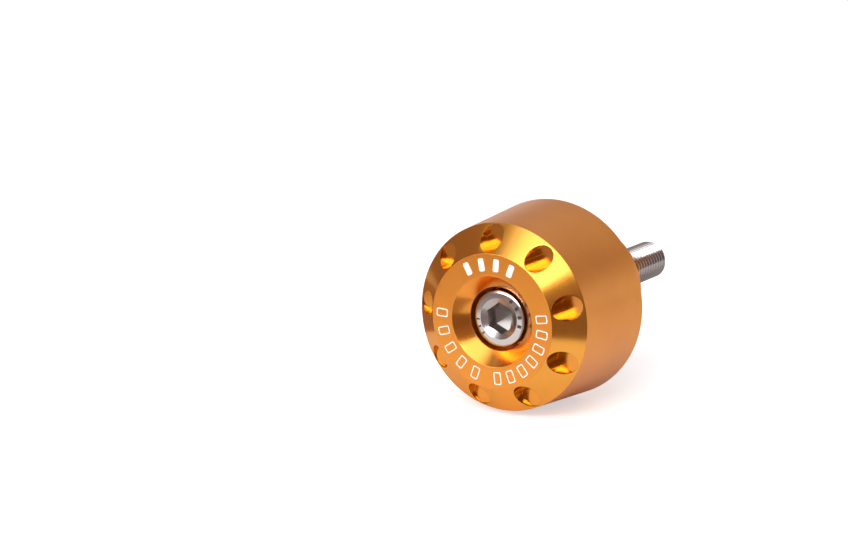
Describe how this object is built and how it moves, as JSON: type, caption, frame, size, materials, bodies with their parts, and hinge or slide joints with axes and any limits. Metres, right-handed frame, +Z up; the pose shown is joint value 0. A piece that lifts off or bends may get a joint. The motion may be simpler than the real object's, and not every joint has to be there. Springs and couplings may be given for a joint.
{
  "type": "bar end weight",
  "caption": "Turned metal weight for the end of a motorbike handlebar, with a ring of blind holes round its face and a cap screw through its neck.",
  "frame": {"origin": "centre of the neck's end face, the face that seats against the handlebar", "axes": "+Y along the axis from the outer face to the neck and the free end of the screw, +Z up, +X to the right seen from the outer face"},
  "size_m": [0.036, 0.0588, 0.036],
  "materials": {
    "orange_anodised_aluminium": "satin blasted barrel and face ring, bright turned chamfer and countersink, orange-gold anodised",
    "stainless_steel": "polished"
  },
  "bodies": {
    "root": {"weight_body": "orange_anodised_aluminium", "cap_screw": "stainless_steel"}
  },
  "joints": []
}
